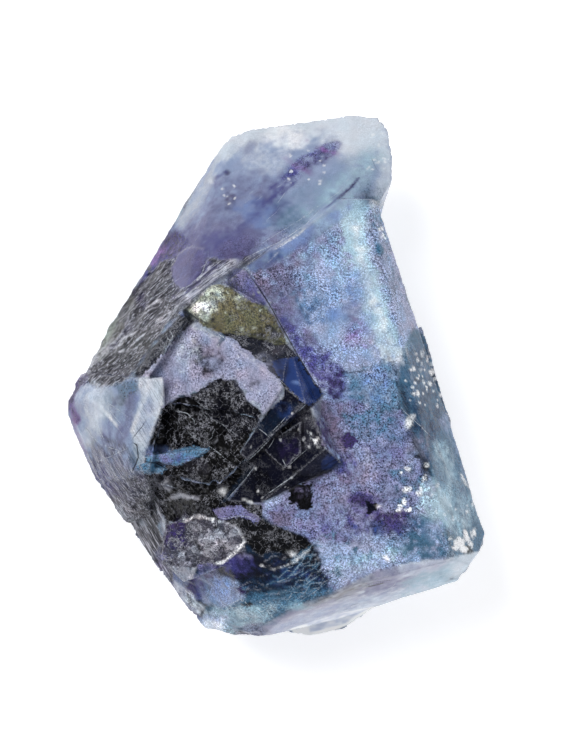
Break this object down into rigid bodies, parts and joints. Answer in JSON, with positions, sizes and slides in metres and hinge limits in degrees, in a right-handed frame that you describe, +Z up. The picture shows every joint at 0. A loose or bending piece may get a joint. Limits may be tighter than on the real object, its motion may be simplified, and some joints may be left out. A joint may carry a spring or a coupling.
{
  "type": "fluorite crystal specimen",
  "caption": "Broken lump of clear to violet fluorite with flat cleavage faces and a stepped dark cube on its back, lying on a flat underside.",
  "frame": {"origin": "centre of the outline at the level of the flat underside, on the surface it lies on", "axes": "+Y along the specimen's longest side towards the clear block, +Z up through its thickness, +X towards the broad pale face"},
  "size_m": [0.048, 0.0598, 0.0267],
  "materials": {
    "fluorite": "clear to clouded crystal, pale ice blue through lilac to near-black violet, glassy on fresh breaks and silky where etched"
  },
  "bodies": {
    "root": {"fluorite_crystal": "fluorite"}
  },
  "joints": []
}
